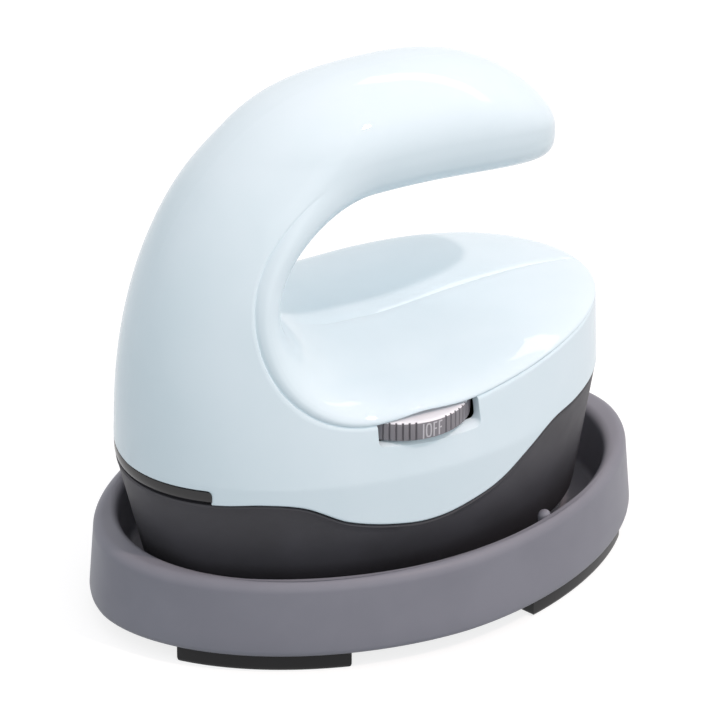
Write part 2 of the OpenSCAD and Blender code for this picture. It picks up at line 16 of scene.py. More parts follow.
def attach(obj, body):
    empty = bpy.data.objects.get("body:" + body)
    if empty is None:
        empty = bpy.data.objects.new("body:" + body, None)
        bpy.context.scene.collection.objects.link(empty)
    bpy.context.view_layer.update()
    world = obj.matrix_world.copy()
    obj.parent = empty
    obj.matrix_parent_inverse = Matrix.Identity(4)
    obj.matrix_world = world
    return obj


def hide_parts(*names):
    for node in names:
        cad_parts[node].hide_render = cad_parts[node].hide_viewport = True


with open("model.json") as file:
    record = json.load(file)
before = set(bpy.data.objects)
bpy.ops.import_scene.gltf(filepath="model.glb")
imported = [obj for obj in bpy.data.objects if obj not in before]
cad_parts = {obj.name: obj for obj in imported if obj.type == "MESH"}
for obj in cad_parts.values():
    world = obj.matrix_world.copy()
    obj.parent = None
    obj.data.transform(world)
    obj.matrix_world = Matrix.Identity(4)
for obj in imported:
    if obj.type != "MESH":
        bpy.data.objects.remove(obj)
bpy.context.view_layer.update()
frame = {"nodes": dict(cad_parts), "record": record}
cad = frame["nodes"]

MM = 0.001
MERGE_M = 2e-7
TINY = 1e-6

# ---------------------------------------------------------------- sizes

# ends, half width and top of the press, and the height at which the handle's outline begins
HEEL_X, NOSE_X, BODY_HALF_W = 61.8, 58.7, 40.8
TOP_Z, SHOULDER_Z = 127.5, 46.9
RISE = TOP_Z - SHOULDER_Z
HANDLE_HALF_W, TIP_X = 19.0, 47.7
WALL = 2.4
# middle of the finger gap's round end, and its reach to the rear, up and down
ARC_X, ARC_Z, ARC_DEPTH, ARC_UP, ARC_DOWN = -5.0, 82.3, 24.7, 18.2, 17.5
# width of the rolled edge along the saddle, the handle and the rear of the gap, and how much it
# swells between the rear and the saddle
SADDLE_ROLL, HANDLE_ROLL, ARC_ROLL, ROLL_SWELL = 5.3, 13.0, 11.3, 2.6
# how full the section of the rolled edge is: 1 is a quarter circle, less is fuller
HANDLE_FULLNESS, SADDLE_FULLNESS = 0.77, 1.0
# curve of the handle's upper and lower outline, its blunt tip, and its narrowing in plan
CROWN_POWER, CROWN_X, CROWN_REACH = 2.3, 3.0, 68.7
UNDER_DROP, UNDER_POWER = 7.0, 2.3
TIP_POWER, TIP_MID = 4.5, 0.42
TAPER_X, TAPER_POWER = 12, 2.6
# band round the heel
TRIM_END_X, TRIM_H, TRIM_CORNER = -52.0, 3.5, 1.0
# half width of the press by height, its wavy lower edge by x, and the saddle's height by x
ENVELOPE = [[45, BODY_HALF_W], [60, BODY_HALF_W - 2.4], [75, BODY_HALF_W - 5.2],
            [90, 32.4], [105, 27], [115, 19.3]]
WAVE = [[-62, 39.4], [-51, 40.2], [-43, 41], [-34.6, 40], [-25, 35.4], [-11, 32.6],
        [-3.3, 32.5], [4.6, 34], [13.1, 36.6], [22.2, 41.5], [30, 45.2], [38.2, 45.9],
        [62, 47]]
SADDLE = [[-5, ARC_Z - ARC_DOWN], [5, 64.4], [18, 65.5], [34, 67], [48, 67.9], [61, 68.2]]

DIAL_X, DIAL_Y, DIAL_Z = -4.9, -25.1, 53.8
DIAL_R, DIAL_H, DIAL_CLEAR, DIAL_ROOM = 16.0, 4.7, 0.35, 0.6
SHAFT_R = 3.0

PLATE_TOP, DECK_LOW, DECK_TOP, BOARD_Z = 13.0, 25.0, 27.4, 45.0
SKIRT_GAP, SKIRT_WALL = 0.3, 2.0
SKIRT_LEAN_NOSE, SKIRT_LEAN_HEEL, SKIRT_LEAN_SIDE = 4.3, 5.8, 6.8
SKIRT_BOTTOM = PLATE_TOP + 0.4
LIP_INSET, LIP_H = WALL + 0.9, 2.4

STAND_LEN, STAND_WID, STAND_POWER = 138.8, 95.8, 1.84
HOLLOW_LEN, HOLLOW_WID, RIM_Z, FOOT_H = 121.8, 84.6, 23.0, 4.0
TRAY_FLOOR = FOOT_H + 2.4

PLATE_SCREW_AT = [(-44, 0), (44, 0), (0, 26), (0, -26)]
SHELL_SCREW_AT = [(-50, 6), (30, 20), (-50, -6), (30, -20)]
BOARD_SCREW_AT = [(-20, 18), (20, 18), (-20, -18), (20, -18)]
ELEMENT_HALF, LEAD_X = 15.0, -43.5

# where the cord bush goes through the heel, and the way that it faces there
GLAND_X, GLAND_Z, CORD_HOLE_R = -42.0, 50.0, 3.3
GLAND_Y = BODY_HALF_W * math.sqrt(1 - (GLAND_X / HEEL_X) ** 2)
GLAND_TURN = math.atan2(GLAND_Y / BODY_HALF_W ** 2, GLAND_X / HEEL_X ** 2)
# radius, inner end and outer end of the hole for the bush and of the seat for its flange
GLAND_HOLE, GLAND_SEAT = (4.65, -12, 8), (6.2, -0.9, 7.1)


# ---------------------------------------------------------------- curves

def sup(t, power):
    """Height of a unit superellipse at t."""
    return np.maximum(0, 1 - np.minimum(1, np.abs(t)) ** power) ** (1 / power)


def ease(t):
    s = np.clip(t, 0, 1)
    return s * s * (3 - 2 * s)


def step(value, start, length):
    """Smooth change from 0 to 1 that begins at start and takes a length."""
    return float(ease((value - start) / length))


def curve(t, table):
    """Smooth curve through a short table of [position, value] rows."""
    rows = np.asarray(table, float)
    t = np.asarray(t, float)
    last = len(rows) - 1
    i = np.clip(np.searchsorted(rows[:, 0], t) - 1, 0, last - 1)
    before = np.maximum(np.arange(last + 1) - 1, 0)
    after = np.minimum(np.arange(last + 1) + 1, last)
    slope = (rows[after, 1] - rows[before, 1]) / (rows[after, 0] - rows[before, 0])
    h = rows[i + 1, 0] - rows[i, 0]
    s = np.clip((t - rows[i, 0]) / h, 0, 1)
    return ((2 * s ** 3 - 3 * s ** 2 + 1) * rows[i, 1] + (s ** 3 - 2 * s ** 2 + s) * h * slope[i]
            + (3 * s ** 2 - 2 * s ** 3) * rows[i + 1, 1] + (s ** 3 - s ** 2) * h * slope[i + 1])


def wave(x):
    return float(curve(x, WAVE))


# ---------------------------------------------------------------- mesh helpers

def make_object(name, points, faces):
    """Object of a mesh, with its doubled points merged and its normals facing out."""
    mesh = bpy.data.meshes.new(name)
    mesh.from_pydata([(x * MM, y * MM, z * MM) for x, y, z in points], [], faces)
    bm = bmesh.new()
    bm.from_mesh(mesh)
    bmesh.ops.remove_doubles(bm, verts=bm.verts, dist=MERGE_M)
    bmesh.ops.recalc_face_normals(bm, faces=bm.faces)
    bm.to_mesh(mesh)
    bm.free()
    obj = bpy.data.objects.new(name, mesh)
    bpy.context.scene.collection.objects.link(obj)
    return obj


def finish_piece(obj, body, material, replaced=(), smooth_deg=35):
    """Gives a piece its material and shading, parents it to its body and hides the nodes it replaces."""
    mesh = obj.data
    mesh.materials.clear()
    mesh.materials.append(material)
    mesh.polygons.foreach_set("use_smooth", [True] * len(mesh.polygons))
    mesh.set_sharp_from_angle(angle=math.radians(smooth_deg))
    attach(obj, body)
    if replaced:
        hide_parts(*replaced)
    return obj


def grid_faces(rows, cols, start=0, wrap=False):
    """Quads of a grid of points stored row by row."""
    faces = []
    for r in range(rows - 1):
        for c in range(cols if wrap else cols - 1):
            n = (c + 1) % cols
            a, b = start + r * cols, start + (r + 1) * cols
            faces.append((a + c, a + n, b + n, b + c))
    return faces


def ring_loft(rings, closed=False):
    """Points and faces of a body through closed rings of equal length."""
    count, cols = len(rings), len(rings[0])
    points = [p for ring in rings for p in ring]
    faces = grid_faces(count, cols, wrap=True)
    if closed:
        a, b = (count - 1) * cols, 0
        faces += [(a + c, a + (c + 1) % cols, b + (c + 1) % cols, b + c) for c in range(cols)]
    else:
        faces.append(tuple(range(cols - 1, -1, -1)))
        faces.append(tuple((count - 1) * cols + c for c in range(cols)))
    return points, faces


def add_loft(points, faces, rings, closed=False):
    """Adds a loft's points and faces to lists that may hold others already."""
    more_points, more_faces = ring_loft(rings, closed)
    faces += [tuple(i + len(points) for i in face) for face in more_faces]
    points += more_points


def bend(c, power):
    """Cosine or sine of a circle turned into that of a superellipse."""
    return math.copysign(abs(c) ** (2 / power), c)


def oval_ring(front, rear, half, z, share=0.0, power=2.0, count=192):
    """Ring of an oval, at height z plus a share of the wave."""
    ring = []
    for i in range(count):
        t = 2 * math.pi * i / count
        x = (rear if math.cos(t) < 0 else front) * bend(math.cos(t), power)
        ring.append((x, half * bend(math.sin(t), power), z + share * wave(x)))
    return ring


def press_ring(inset, z, share=0.0, lean=0.0):
    """Ring parallel to the press; lean 0 is the skirt's top and 1 its bottom."""
    return oval_ring(NOSE_X - inset - lean * SKIRT_LEAN_NOSE, HEEL_X - inset - lean * SKIRT_LEAN_HEEL,
                     BODY_HALF_W - inset - lean * SKIRT_LEAN_SIDE, z, share)


def stand_ring(inset, z):
    half_len = STAND_LEN / 2 - inset
    return oval_ring(half_len, half_len, STAND_WID / 2 - inset, z, power=STAND_POWER)


def hollow_ring(inset, z):
    half_len = HOLLOW_LEN / 2 - inset
    return oval_ring(half_len, half_len, HOLLOW_WID / 2 - inset, z)


def circle(r, z, at, sides):
    turns = [2 * math.pi * k / sides for k in range(sides)]
    return [(at[0] + r * math.cos(a), at[1] + r * math.sin(a), z) for a in turns]


def cylinder(r, low, high, at=(0, 0), sides=48):
    return make_object("tool", *ring_loft([circle(r, z, at, sides) for z in (low, high)]))


def block(low, high):
    (x0, y0, z0), (x1, y1, z1) = low, high
    rings = [[(x0, y0, z), (x1, y0, z), (x1, y1, z), (x0, y1, z)] for z in (z0, z1)]
    return make_object("tool", *ring_loft(rings))


def placed(obj, matrix):
    obj.data.transform(matrix)
    return obj


def combine(obj, tools, operation):
    """Cuts or joins the tool objects into obj, and deletes them."""
    for tool in tools:
        mod = obj.modifiers.new("combine", "BOOLEAN")
        mod.operation = operation
        mod.solver = "EXACT"
        mod.object = tool
        bpy.context.view_layer.update()
        worked = obj.evaluated_get(bpy.context.evaluated_depsgraph_get())
        result = bpy.data.meshes.new_from_object(worked)
        obj.modifiers.remove(mod)
        old = obj.data
        obj.data = result
        bpy.data.meshes.remove(old)
        mesh = tool.data
        bpy.data.objects.remove(tool)
        bpy.data.meshes.remove(mesh)
    return obj


# ---------------------------------------------------------------- materials

# noise cycles per metre: faint mottling and gloss of plastic, streaks and scratches of metal
MOTTLE, GLOSS, STREAK, SCRATCH = 60, 220, 90, 900
SCRATCH_MM, SCRATCH_STRENGTH = 0.01, 0.4

# light and dark tone in sRGB 0..255, grain and its depth in mm, roughness, and constant sockets
PLASTICS = {
    "shell_plastic": ((228, 242, 248), (225, 240, 246), 1.6, 0.0015, (0.48, 0.54),
                      {"Specular IOR Level": 0.1, "Coat Weight": 0.6, "Coat Roughness": 0.02}),
    "skirt_plastic": ((66, 65, 70), (59, 58, 62), 0.28, 0.03, (0.50, 0.62), {"Specular IOR Level": 0.4}),
    "stand_plastic": ((135, 135, 144), (130, 130, 139), 0.5, 0.008, (0.42, 0.5),
                      {"Specular IOR Level": 0.3}),
    "foot_rubber": ((22, 22, 24), (18, 18, 20), 0.8, 0.01, (0.34, 0.42), {"Specular IOR Level": 0.25}),
    "pad_rubber": ((52, 51, 52), (44, 43, 44), 0.5, 0.02, (0.6, 0.7), {}),
    "gland_rubber": ((36, 36, 38), (29, 29, 31), 0.5, 0.015, (0.5, 0.6), {}),
    "trim_gloss": ((27, 27, 29), (22, 22, 24), 1.5, 0.002, (0.16, 0.22), {}),
    "dial_plastic": ((134, 131, 136), (126, 123, 128), 0.4, 0.004, (0.34, 0.42), {}),
    # pale tone for the dial's upward faces: a painted reflection of the bright sky, not the dial's own
    # colour
    "dial_top_painted_reflection": ((243, 242, 245), (238, 237, 241), 0.5, 0.003, (0.22, 0.3), {}),
    "dial_print": ((206, 203, 207), (198, 195, 199), 0.5, 0.003, (0.4, 0.5), {}),
    "insulation": ((230, 225, 210), (206, 200, 182), 0.6, 0.25, (0.9, 1.0), {}),
    "board": ((22, 92, 52), (15, 74, 42), 1.2, 0.02, (0.30, 0.42), {}),
    "relay_case": ((36, 72, 150), (30, 62, 134), 0.6, 0.01, (0.35, 0.45), {}),
    "capacitor_case": ((196, 160, 52), (180, 144, 44), 0.6, 0.015, (0.4, 0.5), {}),
    "terminal_case": ((52, 124, 74), (44, 108, 64), 0.6, 0.015, (0.42, 0.52), {}),
    "black_plastic": ((34, 34, 37), (27, 27, 30), 0.5, 0.015, (0.42, 0.55), {}),
    "lead_sleeve": ((226, 219, 200), (200, 192, 170), 0.35, 0.12, (0.85, 0.95), {}),
}

# light and dark tone in linear colour, roughness, and how the scratches are drawn out
METALS = {
    "plate_metal": ((0.80, 0.80, 0.81), (0.72, 0.72, 0.73), (0.20, 0.34), (1, 8, 8)),
    "element_sheath": ((0.34, 0.32, 0.30), (0.22, 0.20, 0.19), (0.38, 0.55), (1, 1, 1)),
    "steel": ((0.72, 0.73, 0.75), (0.60, 0.61, 0.63), (0.22, 0.36), (1, 1, 1)),
    "shield_foil": ((0.86, 0.86, 0.87), (0.78, 0.78, 0.79), (0.14, 0.26), (8, 1, 1)),
    "sensor_body": ((0.76, 0.62, 0.34), (0.64, 0.50, 0.26), (0.24, 0.38), (1, 1, 1)),
    "fuse_body": ((0.80, 0.69, 0.42), (0.70, 0.58, 0.34), (0.22, 0.34), (1, 1, 1)),
}


def rgb(tone):
    """Linear colour of an sRGB tone given in 0..255."""
    def linear(c):
        c /= 255
        return c / 12.92 if c <= 0.04045 else ((c + 0.055) / 1.055) ** 2.4
    return tuple(linear(c) for c in tone) + (1.0,)


class Surface:
    """A Principled material with noise driven colour, roughness and bump."""

    def __init__(self, name, sockets):
        self.material = bpy.data.materials.new(name)
        self.material.use_nodes = True
        self.nodes = self.material.node_tree.nodes
        self.links = self.material.node_tree.links
        self.shader = self.nodes["Principled BSDF"]
        for socket, value in sockets.items():
            self.shader.inputs[socket].default_value = value
        self.where = self.nodes.new("ShaderNodeTexCoord").outputs["Object"]

    def noise(self, scale, detail=3.0, stretch=None):
        place = self.where
        if stretch:
            mapping = self.nodes.new("ShaderNodeMapping")
            mapping.inputs["Scale"].default_value = stretch
            self.links.new(self.where, mapping.inputs["Vector"])
            place = mapping.outputs["Vector"]
        node = self.nodes.new("ShaderNodeTexNoise")
        node.inputs["Scale"].default_value = scale
        node.inputs["Detail"].default_value = detail
        self.links.new(place, node.inputs["Vector"])
        return node.outputs["Fac"]

    def colour(self, fac, first, second, low=0.35, high=0.65):
        ramp = self.nodes.new("ShaderNodeValToRGB")
        ramp.color_ramp.elements[0].position = low
        ramp.color_ramp.elements[0].color = first
        ramp.color_ramp.elements[1].position = high
        ramp.color_ramp.elements[1].color = second
        self.links.new(fac, ramp.inputs["Fac"])
        self.links.new(ramp.outputs["Color"], self.shader.inputs["Base Color"])

    def roughness(self, fac, low, high):
        span = self.nodes.new("ShaderNodeMapRange")
        span.inputs["To Min"].default_value = low
        span.inputs["To Max"].default_value = high
        self.links.new(fac, span.inputs["Value"])
        self.links.new(span.outputs["Result"], self.shader.inputs["Roughness"])

    def bump(self, fac, depth_mm, strength=1.0):
        node = self.nodes.new("ShaderNodeBump")
        node.inputs["Strength"].default_value = strength
        node.inputs["Distance"].default_value = depth_mm * MM
        self.links.new(fac, node.inputs["Height"])
        self.links.new(node.outputs["Normal"], self.shader.inputs["Normal"])


def plastic(name, light, dark, grain_mm, bump_mm, rough, sockets):
    """Moulded plastic, rubber or fibre: faint mottling, fine grain."""
    s = Surface(name, sockets)
    s.colour(s.noise(MOTTLE), rgb(dark), rgb(light))
    s.roughness(s.noise(GLOSS), rough[0], rough[1])
    s.bump(s.noise(1 / (grain_mm * MM), detail=2), bump_mm)
    return s.material


def metal(name, light, dark, rough, stretch):
    """Bare metal with fine scratches, drawn out one way where stretch says so."""
    s = Surface(name, {"Metallic": 1.0})
    s.colour(s.noise(STREAK, stretch=stretch), dark + (1,), light + (1,))
    fine = s.noise(SCRATCH, detail=4, stretch=stretch)
    s.roughness(fine, rough[0], rough[1])
    s.bump(fine, SCRATCH_MM, SCRATCH_STRENGTH)
    return s.material


def make_materials():
    mats = {name: plastic(name, *row) for name, row in PLASTICS.items()}
    mats.update({name: metal(name, *row) for name, row in METALS.items()})
    return mats


# ---------------------------------------------------------------- shell halves

# how many stations lie along each part of the outline, and rows across each station
HANDLE_N, SPINE_N, HEEL_N, CORNER_N, DROP_N, EDGE_N, SADDLE_N = 56, 56, 16, 6, 4, 44, 64
ROLL_ROWS, FLANK_ROWS = 22, 40

# angle round the gap at which each change starts, and how long it takes; 90 is up, 180 the rear
REAR_TURN, LOW_TURN, SWELL_TURN = (90, 60), (180, 90), (180, 88)
PLAN_TURN, CREASE_TURN, BEAD_TURN, SEAM_TURN = (90, 85), (112, 45), (100, 50), (215, 50)
# where the crease fades out along the saddle
CREASE_END = (44, 12)

# section of the crease: distance from it, and height as a share of CREASE_H
CREASE = [(-2.6, 1.0), (-2.1, 0.97), (-1.6, 0.88), (-1.2, 0.73), (-0.85, 0.54), (-0.55, 0.33),
          (-0.3, 0.1), (-0.12, -0.15), (0.0, -0.4), (0.12, -0.5), (0.26, -0.42), (0.42, -0.15),
          (0.65, 0.0)]
CREASE_H = 0.75
# the line along the handle's lower side
BEAD_AT, BEAD_H, BEAD_W, BEAD_START = 7.4, 0.16, 0.9, 4
# rounding of the lower edge: distance from the edge, and how far it is drawn in
EDGE_ROUND = [(0.5, 0.0), (0.24, 0.06), (0.07, 0.2), (0.0, 0.45)]
SEAM_DEPTH, SEAM_HALF = 0.4, 0.28
# the roll takes at most this share of a station; on a short one the crease shrinks too
ROLL_SHARE, CREASE_ROOM = 0.62, 4
# angle kept between the roll's last row and the crease, and the flank's first row after it
ROLL_STOP_DEG, FLANK_START = 1.0, 0.6
# relief starts at this distance from the middle plane
RELIEF_FROM = 1.0


def plan_half(x, z, t):
    """Half width of the press at a place in its side view, t inside its surface."""
    share = np.where(z > SHOULDER_Z, sup((z - SHOULDER_Z) / (RISE - t), CROWN_POWER), 1)
    a = np.where(x > 0, NOSE_X - t, (HEEL_X - t + CROWN_X) * share - CROWN_X)
    return (curve(z, ENVELOPE) - t) * np.sqrt(np.maximum(0, 1 - (x / np.maximum(a, 0.001)) ** 2))


def handle_crown(x):
    reach = CROWN_REACH if x > CROWN_X else HEEL_X + CROWN_X
    return SHOULDER_Z + RISE * float(sup((x - CROWN_X) / reach, CROWN_POWER))


def handle_under(x):
    return ARC_Z + ARC_UP - UNDER_DROP * ((x - ARC_X) / (TIP_X - ARC_X)) ** UNDER_POWER


# A line across the side of the shell, from the finger gap to the outline: its two ends, the
# width of its roll, how far it follows the plan rather than its own width, that width, how
# strong its crease, bead and seam are, and whether it ends on the lower edge.
Station = namedtuple("Station", "inner outer roll share width crease bead seam lower")


def handle_station(k, t):
    x = ARC_X + (TIP_X - t - ARC_X) * math.cos(math.radians(90 * k))
    blunt = float(sup(x / (TIP_X - t), TIP_POWER)) if x > 0 else 1.0
    low, high = handle_under(x) + t, handle_crown(x) - t
    mid = low + TIP_MID * (high - low)
    taper = float(sup((x - TAPER_X) / (TIP_X - t - TAPER_X), TAPER_POWER)) if x > TAPER_X else 1.0
    return Station((x, mid - (mid - low) * blunt), (x, mid + (high - mid) * blunt),
                   HANDLE_ROLL * blunt, 0.0, (HANDLE_HALF_W - t) * taper, 0.0, blunt, 0.0, False)


def arc_station(ox, oz, t, lower):
    """Station through the gap's middle that ends at a place on the outline."""
    dx, dz = ox - ARC_X, oz - ARC_Z
    a, b = ARC_DEPTH + t, (ARC_UP if dz > 0 else ARC_DOWN) + t
    k = 1 / math.hypot(dx / a, dz / b)
    nx, nz = dx / a ** 2, dz / b ** 2
    cosine = (dx * nx + dz * nz) / (math.hypot(dx, dz) * math.hypot(nx, nz))
    polar = math.degrees(math.atan2(dz, dx)) % 360
    low = step(polar, *LOW_TURN)
    back = step(polar, *REAR_TURN)
    swelling = min(1, max(0, (polar - SWELL_TURN[0]) / SWELL_TURN[1]))
    swell = ROLL_SWELL * math.sin(math.pi * swelling) ** 2
    roll = HANDLE_ROLL * (1 - back) + ARC_ROLL * back * (1 - low) + SADDLE_ROLL * low + swell
    return Station((ARC_X + dx * k, ARC_Z + dz * k), (ox, oz), roll / cosine,
                   step(polar, *PLAN_TURN), HANDLE_HALF_W - t, step(polar, *CREASE_TURN),
                   1 - step(polar, *BEAD_TURN), step(polar, *SEAM_TURN), lower)


def spine_station(k, t):
    reach = HEEL_X + CROWN_X
    start = math.acos(((CROWN_X - ARC_X) / reach) ** (CROWN_POWER / 2))
    b = start * (1 - k)
    return arc_station(CROWN_X - (reach - t) * math.cos(b) ** (2 / CROWN_POWER),
                       SHOULDER_Z + (RISE - t) * math.sin(b) ** (2 / CROWN_POWER), t, False)


def edge_station(x, z, t):
    return arc_station(x * (HEEL_X - t) / HEEL_X, z, t, True)


def saddle_station(k, t):
    x = ARC_X + (NOSE_X - t - ARC_X) * math.sin(math.radians(90 * k))
    r = SADDLE_ROLL * math.sqrt(max(0, 1 - (max(x, 0) / (NOSE_X - t)) ** 2))
    return Station((x, float(curve(x, SADDLE)) - t - SADDLE_ROLL + r), (x, wave(x)), r, 1.0, 0.0,
                   1 - step(x, *CREASE_END), 0.0, 1.0, True)


def notch_top(x):
    """Height of the shell's lower edge above the wave, where the band sits."""
    over = max(0.0, x - (TRIM_END_X - TRIM_CORNER))
    return TRIM_H - TRIM_CORNER + math.sqrt(max(0, TRIM_CORNER ** 2 - over ** 2))


def stations(t):
    """Every station of a shell half, from the handle's tip round the heel to the nose."""
    corner_x = TRIM_END_X - TRIM_CORNER
    found = [handle_station(i / HANDLE_N, t) for i in range(HANDLE_N)]
    found += [spine_station(i / SPINE_N, t) for i in range(SPINE_N)]
    for i in range(HEEL_N):
        x = -HEEL_X + (corner_x + HEEL_X) * (1 - math.cos(math.pi / 2 * i / HEEL_N))
        found.append(edge_station(x, wave(x) + notch_top(x), t))
    for i in range(CORNER_N + 1):
        x = corner_x + TRIM_CORNER * math.sin(math.pi / 2 * i / CORNER_N)
        found.append(edge_station(x, wave(x) + notch_top(x), t))
    drop = notch_top(TRIM_END_X)
    for i in range(1, DROP_N):
        found.append(edge_station(TRIM_END_X, wave(TRIM_END_X) + drop * (1 - i / DROP_N), t))
    for i in range(EDGE_N):
        x = TRIM_END_X + (ARC_X - TRIM_END_X) * i / EDGE_N
        found.append(edge_station(x, wave(x), t))
    found += [saddle_station(i / SADDLE_N, t) for i in range(SADDLE_N + 1)]
    return found


def station_points(s, t, detail):
    """Rows of one station: the rolled edge, the crease and the flank."""
    inner, outer = np.array(s.inner), np.array(s.outer)
    length = max(float(np.linalg.norm(outer - inner)), 1e-4)
    roll = min(s.roll, ROLL_SHARE * length)
    flank = length - roll
    full = HANDLE_FULLNESS + (SADDLE_FULLNESS - HANDLE_FULLNESS) * s.share
    near = min(1.0, roll / CREASE_ROOM, flank / CREASE_ROOM)
    rows = []

    def add(distance, swell, dome, proud=0.0, inset=0.0):
        rows.append((distance, swell, dome, proud, inset))

    def on_roll(distance):
        return max(0.0, 1 - (1 - distance / max(roll, TINY)) ** (2 / full)) ** (full / 2)

    def on_flank(distance):
        return math.sqrt(max(0, 1 - ((distance - roll) / max(flank, TINY)) ** 2))

    crest = -CREASE[0][0] * near
    last_angle = math.degrees(math.acos(min(1, max(0, crest / max(roll, TINY))) ** (1 / full)))
    for k in range(ROLL_ROWS):
        a = math.radians((last_angle - ROLL_STOP_DEG) * k / (ROLL_ROWS - 1))
        distance = roll * (1 - math.cos(a) ** full)
        add(distance, math.sin(a) ** full, 1.0, float(ease(distance / (roll - crest + 1e-9))))
    for u, height in CREASE:
        distance = roll + u * near
        if u < 0:
            add(distance, on_roll(distance), 1.0, height)
        else:
            add(distance, 1.0, on_flank(distance), height)
    first = math.asin(min(1, FLANK_START * near / max(flank, TINY)))
    edge = EDGE_ROUND[0][0] * near
    final = math.asin(min(1, max(0, (flank - edge) / max(flank, TINY))))
    for k in range(1, FLANK_ROWS):
        a = first + (final - first) * k / FLANK_ROWS
        add(roll + flank * math.sin(a), 1.0, math.cos(a))
    for u, pull in EDGE_ROUND:
        distance = length - u * near
        add(distance, 1.0, on_flank(distance), 0.0, pull if s.lower else 0.0)
    d, swell, dome, proud, inset = np.array(rows).T
    way = (outer - inner) / length
    x, z = inner[0] + way[0] * d, inner[1] + way[1] * d
    h = swell * ((1 - s.share) * s.width * dome + s.share * plan_half(x, z, t))
    if detail:
        bead = BEAD_H * s.bead * (1 - ease((d - BEAD_AT) / BEAD_W + 0.5)) * ease(d / BEAD_START)
        relief = CREASE_H * s.crease * near * proud + bead
        h = np.maximum(0, h + np.where(h > RELIEF_FROM, relief - inset, 0))
        sink = s.seam * SEAM_DEPTH * np.clip(1 - h / SEAM_HALF, 0, 1)
        x, z = x + way[0] * sink, z + way[1] * sink
    return np.stack([x, h, z], -1)


def shell_half(name, side):
    outer = [station_points(s, 0.0, True) for s in stations(0.0)]
    inner = [station_points(s, WALL, False) for s in stations(WALL)]
    cols, count = len(outer), len(outer[0])
    points = []
    for grid in (outer, inner):
        for line in grid:
            points += [(x, side * max(h, 0), z) for x, h, z in line.tolist()]
    shift = cols * count
    faces = grid_faces(cols, count) + [tuple(reversed(f)) for f in grid_faces(cols, count, shift)]

    def border(path):
        for a, b in zip(path, path[1:]):
            faces.append((a, b, b + shift, a + shift))
    border([i * count for i in range(cols)])
    border([i * count + count - 1 for i in range(cols)])
    border([(cols - 1) * count + j for j in range(count)])
    return make_object(name, points, faces)


WINDOW_LOW, WINDOW_LEFT, WINDOW_RIGHT, WINDOW_CORNER = DIAL_Z - DIAL_CLEAR, -17.8, 7.7, 1.3
ROOF_GAP, ROOF_STEPS, CORNER_STEPS = 0.12, 24, 8
# the window's section by y: how far its lower lip drops, and how far its sides widen
SCOOP = [(-60, 1.45, 0.5), (-39.6, 1.45, 0.5), (-38.9, 0.95, 0.28), (-38.3, 0.5, 0.1),
         (-37.6, 0.2, 0.0), (-36.8, 0.05, 0.0), (-35.9, 0.0, 0.0), (DIAL_Y, 0.0, 0.0)]


def crease_line():
    """Places along the crease below the finger gap, as [x, z] rows in order of x."""
    rows = []
    for s in stations(0.0):
        if s.lower:
            inner, outer = np.array(s.inner), np.array(s.outer)
            length = float(np.linalg.norm(outer - inner))
            rows.append(inner + (outer - inner) / max(length, TINY) * min(s.roll, ROLL_SHARE * length))
    return np.array(sorted(rows, key=lambda row: row[0]))


def window_cutter():
    """Slot for the dial: its roof follows the crease and its lower lip is scooped."""
    line = crease_line()
    turns = np.linspace(0, math.pi / 2, CORNER_STEPS)
    rings = []
    for y, drop, wide in SCOOP:
        right, left = WINDOW_RIGHT + wide, WINDOW_LEFT - wide
        low = WINDOW_LOW - drop + WINDOW_CORNER
        corner = [(WINDOW_CORNER * (1 - math.sin(a)), low - WINDOW_CORNER * math.cos(a)) for a in turns]
        roof = [(x, float(np.interp(x, line[:, 0], line[:, 1])) + ROOF_GAP)
                for x in np.linspace(right, left, ROOF_STEPS)]
        section = [(right - u, z) for u, z in corner] + roof + [(left + u, z) for u, z in corner[::-1]]
        rings.append([(x, y, z) for x, z in section])
    return make_object("tool", *ring_loft(rings))


def gland_frame():
    """Matrix that stands the bush's axis on the heel, where the cord goes in."""
    turn = Matrix.Rotation(GLAND_TURN, 4, "Z") @ Matrix.Rotation(math.pi / 2, 4, "Y")
    return Matrix.Translation((GLAND_X * MM, GLAND_Y * MM, GLAND_Z * MM)) @ turn


BOSS_R, BOSS_TOP_FRONT, BOSS_TOP_REAR = 3.4, 63.6, 56.0
BOSS_PILOT_R, BOSS_PILOT_H = 1.3, 13
WEB_LOW, WEB_HALF = 46, 1


def shell_boss(x, y):
    """Boss for a shell screw; one at the rear is tied to the heel by a web."""
    top = BOSS_TOP_FRONT if x > 0 else BOSS_TOP_REAR
    tools = [cylinder(BOSS_R, DECK_TOP, top, (x, y))]
    if x < 0:
        tools.append(block((WALL / 2 - HEEL_X, y - WEB_HALF, WEB_LOW), (x, y + WEB_HALF, BOSS_TOP_REAR)))
    return tools


def make_shells(mats):
    for name, side, node in (("housing_right", -1, "shell_right"), ("housing_left", 1, "shell_left")):
        obj = shell_half(name, side)
        places = [p for p in SHELL_SCREW_AT if p[1] * side > 0]
        for x, y in places:
            combine(obj, shell_boss(x, y), "UNION")
        pilots = [cylinder(BOSS_PILOT_R, DECK_TOP - 1, DECK_TOP + BOSS_PILOT_H, p, 24) for p in places]
        combine(obj, pilots, "DIFFERENCE")
        if side < 0:
            round_room = cylinder(DIAL_R + DIAL_ROOM, WINDOW_LOW, DIAL_Z + DIAL_H + DIAL_CLEAR,
                                  (DIAL_X, DIAL_Y), 96)
            combine(obj, [window_cutter(), round_room], "DIFFERENCE")
        else:
            combine(obj, [placed(cylinder(*cut), gland_frame()) for cut in (GLAND_HOLE, GLAND_SEAT)],
                    "DIFFERENCE")
        finish_piece(obj, "press", mats["shell_plastic"], [node])


# ---------------------------------------------------------------- band and skirt

